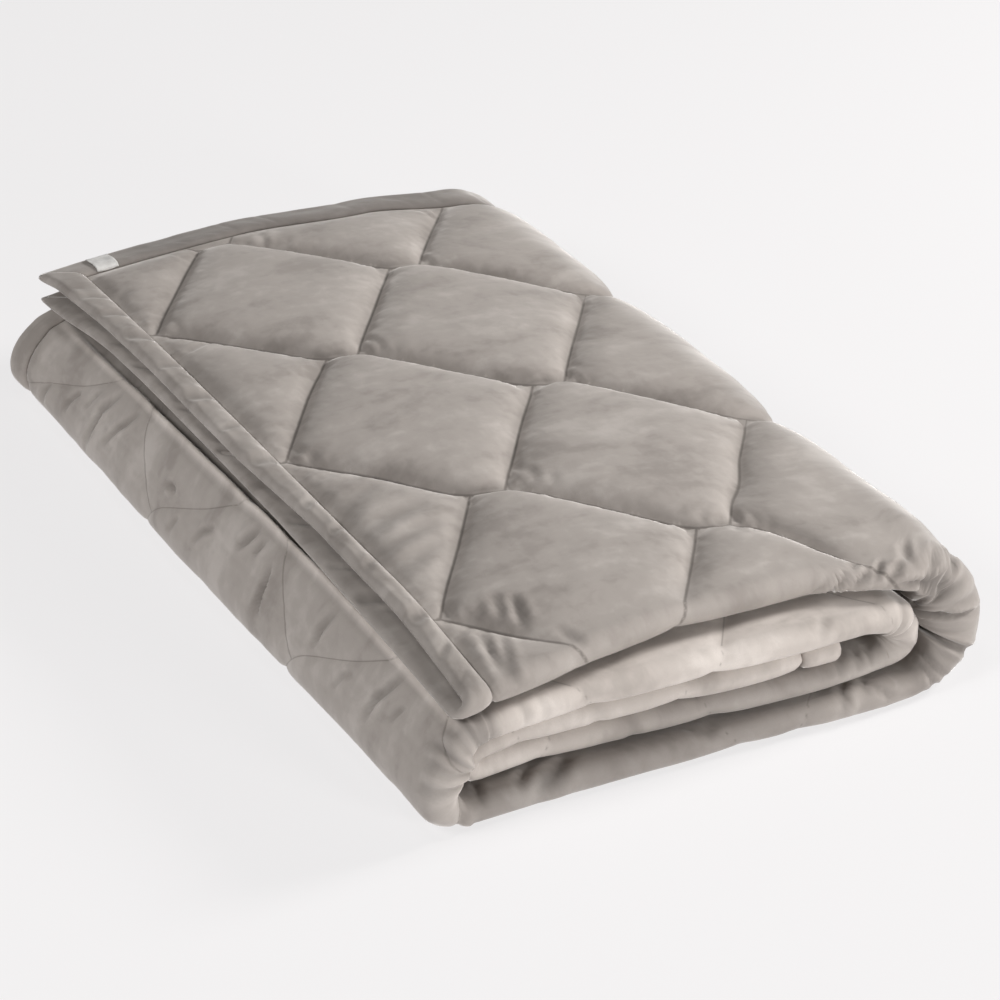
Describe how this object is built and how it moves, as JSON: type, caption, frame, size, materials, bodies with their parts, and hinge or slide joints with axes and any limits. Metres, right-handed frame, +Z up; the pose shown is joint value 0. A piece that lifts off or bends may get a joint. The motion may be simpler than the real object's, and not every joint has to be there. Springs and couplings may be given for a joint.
{
  "type": "folded quilted bedspread",
  "caption": "Quilted velvet bedspread with a sewn binding, folded in half and turned over on itself into a soft flat-bottomed pile.",
  "frame": {"origin": "on the floor, under the middle of the folded pile", "axes": "+X along the front folds towards the large outer bend, +Y from the front folds to the bound back edges, +Z up"},
  "size_m": [0.54, 0.8502, 0.1352],
  "materials": {
    "quilted_velvet": "warm grey velvet with a short brushed nap, quilted",
    "binding_velvet": "the same velvet, cut as a strip and folded over the edge",
    "label_satin": "blank white woven satin"
  },
  "bodies": {
    "root": {"quilted_panel": "quilted_velvet", "binding_left_edge": "binding_velvet", "binding_inner_end": "binding_velvet", "binding_back_outer": "binding_velvet", "binding_back_inner": "binding_velvet", "label": "label_satin"}
  },
  "joints": []
}
